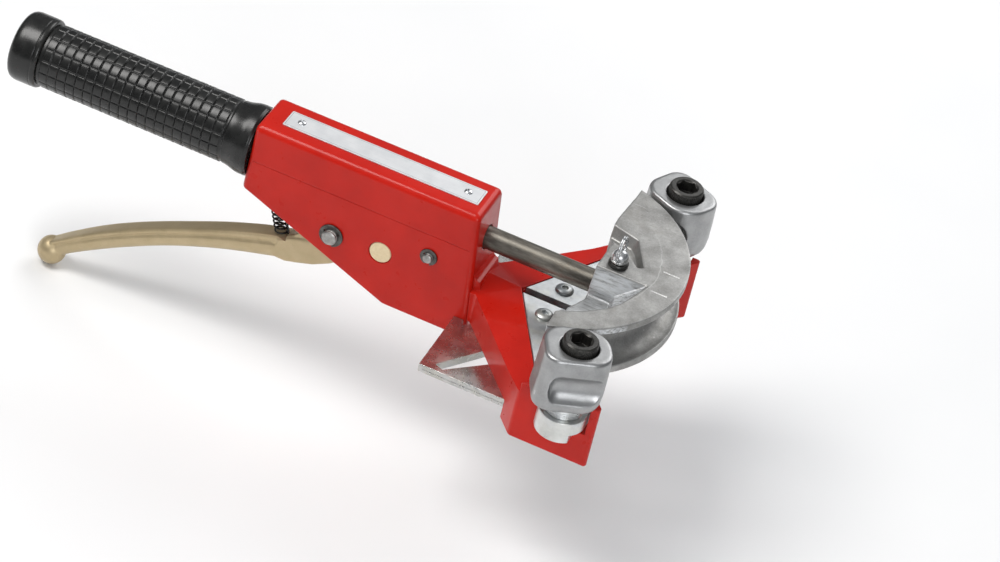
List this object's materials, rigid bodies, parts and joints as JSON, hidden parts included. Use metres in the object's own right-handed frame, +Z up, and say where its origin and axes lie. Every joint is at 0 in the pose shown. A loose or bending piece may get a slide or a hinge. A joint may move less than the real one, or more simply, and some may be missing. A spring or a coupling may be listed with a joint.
{
  "type": "manual tube bender",
  "caption": "Hand-held ratchet tube bender: squeeze lever drives a toothed ram and quadrant former between two swivelling counter-formers on a fork.",
  "frame": {"origin": "centre of the rear foot, the flat underside of the housing's front wall", "axes": "+X forward along the ram towards the former, +Y to the operator's left, +Z up"},
  "size_m": [0.3684, 0.185, 0.1613],
  "materials": {
    "red_paint": "gloss red enamel over cast metal",
    "cast_aluminium": "satin as-cast and machined aluminium",
    "zinc_plate": "bright zinc plated steel",
    "base_metal": "bright rolled steel plate",
    "ram_steel": "drawn steel, lightly oiled and darkened",
    "bright_steel": "turned bright steel",
    "black_oxide": "black oxide steel",
    "gold_lever": "metallic gold-bronze lacquer",
    "cream_plastic": "moulded plastic, satin",
    "black_rubber": "moulded rubber, slight gloss",
    "label_metal": "white lacquered aluminium label, blank",
    "chrome": "polished chrome plate",
    "bronze_bush": "sintered bronze, oiled"
  },
  "bodies": {
    "frame": {"housing": "red_paint", "front_bush": "bronze_bush", "nameplate": "label_metal", "nameplate_screw_rear": "chrome", "nameplate_screw_front": "chrome", "fork_frame": "red_paint", "cross_plate": "zinc_plate", "cross_plate_screw_left": "zinc_plate", "cross_plate_screw_right": "zinc_plate", "base_plate": "base_metal", "base_screw_center": "zinc_plate", "base_screw_left_inner": "zinc_plate", "base_screw_right_inner": "zinc_plate", "base_screw_left_outer": "zinc_plate", "base_screw_right_outer": "zinc_plate", "swivel_bolt_left": "black_oxide", "swivel_bolt_right": "black_oxide", "spacer_left": "zinc_plate", "spacer_right": "zinc_plate", "grip_tube": "bright_steel", "grip_sleeve": "black_rubber", "grip_end_cap": "black_rubber", "lever_pivot_pin": "bright_steel", "pivot_clip_right": "black_oxide", "pivot_clip_left": "black_oxide", "holding_pawl_pin": "bright_steel", "pawl_clip_right": "black_oxide", "pawl_clip_left": "black_oxide", "holding_pawl_spring": "bright_steel", "lever_return_spring": "ram_steel"},
    "ram": {"ram_rod": "ram_steel", "ram_stop_collar": "ram_steel", "bending_former": "cast_aluminium", "former_guide_pin": "bright_steel", "locking_pin_collar": "black_oxide"},
    "locking_pin_assembly": {"locking_pin": "chrome", "locking_pin_ring": "chrome"},
    "counter_former_left_body": {"counter_former_left": "cast_aluminium"},
    "counter_former_right_body": {"counter_former_right": "cast_aluminium"},
    "lever": {"trigger_lever": "gold_lever", "drive_pawl_pin": "bright_steel", "drive_pawl_spring": "bright_steel"},
    "drive_pawl_body": {"drive_pawl": "bright_steel"},
    "holding_pawl_body": {"holding_pawl": "bright_steel"},
    "release_button_body": {"release_button": "cream_plastic"}
  },
  "joints": [
    {"name": "ram_slide", "type": "slide", "parent": "frame", "child": "ram", "axis": [1, 0, 0], "range_m": [-0.056, 0]},
    {"name": "locking_pin_lift", "type": "slide", "parent": "ram", "child": "locking_pin_assembly", "axis": [0, 0, 1], "range_m": [0, 0.012]},
    {"name": "counter_former_left_swivel", "type": "hinge", "parent": "frame", "child": "counter_former_left_body", "pos_m": [0.0853, 0.0741, 0.054], "axis": [0, 0, 1], "range_deg": [-63, 0]},
    {"name": "counter_former_right_swivel", "type": "hinge", "parent": "frame", "child": "counter_former_right_body", "pos_m": [0.0853, -0.0741, 0.054], "axis": [0, 0, 1], "range_deg": [0, 63]},
    {"name": "lever_squeeze", "type": "hinge", "parent": "frame", "child": "lever", "pos_m": [-0.067, 0, 0.029], "axis": [0, 1, 0], "range_deg": [0, 23], "stiffness_Nm_per_rad": 4, "springref_deg": -34.38, "deforming": ["lever_return_spring"]},
    {"name": "drive_pawl_pivot", "type": "hinge", "parent": "lever", "child": "drive_pawl_body", "pos_m": [-0.067, 0, 0.0395], "axis": [0, 1, 0], "range_deg": [0, 10]},
    {"name": "holding_pawl_pivot", "type": "hinge", "parent": "frame", "child": "holding_pawl_body", "pos_m": [-0.0145, 0, 0.0405], "axis": [0, 1, 0], "range_deg": [-10, 0]},
    {"name": "release_button_push", "type": "slide", "parent": "frame", "child": "release_button_body", "axis": [0, -1, 0], "range_m": [0, 0.0045]}
  ],
  "couplings": [
    {"joint": "counter_former_left_swivel", "follows": "ram_slide", "rad_per_m": 19.634},
    {"joint": "counter_former_right_swivel", "follows": "ram_slide", "rad_per_m": -19.634}
  ]
}
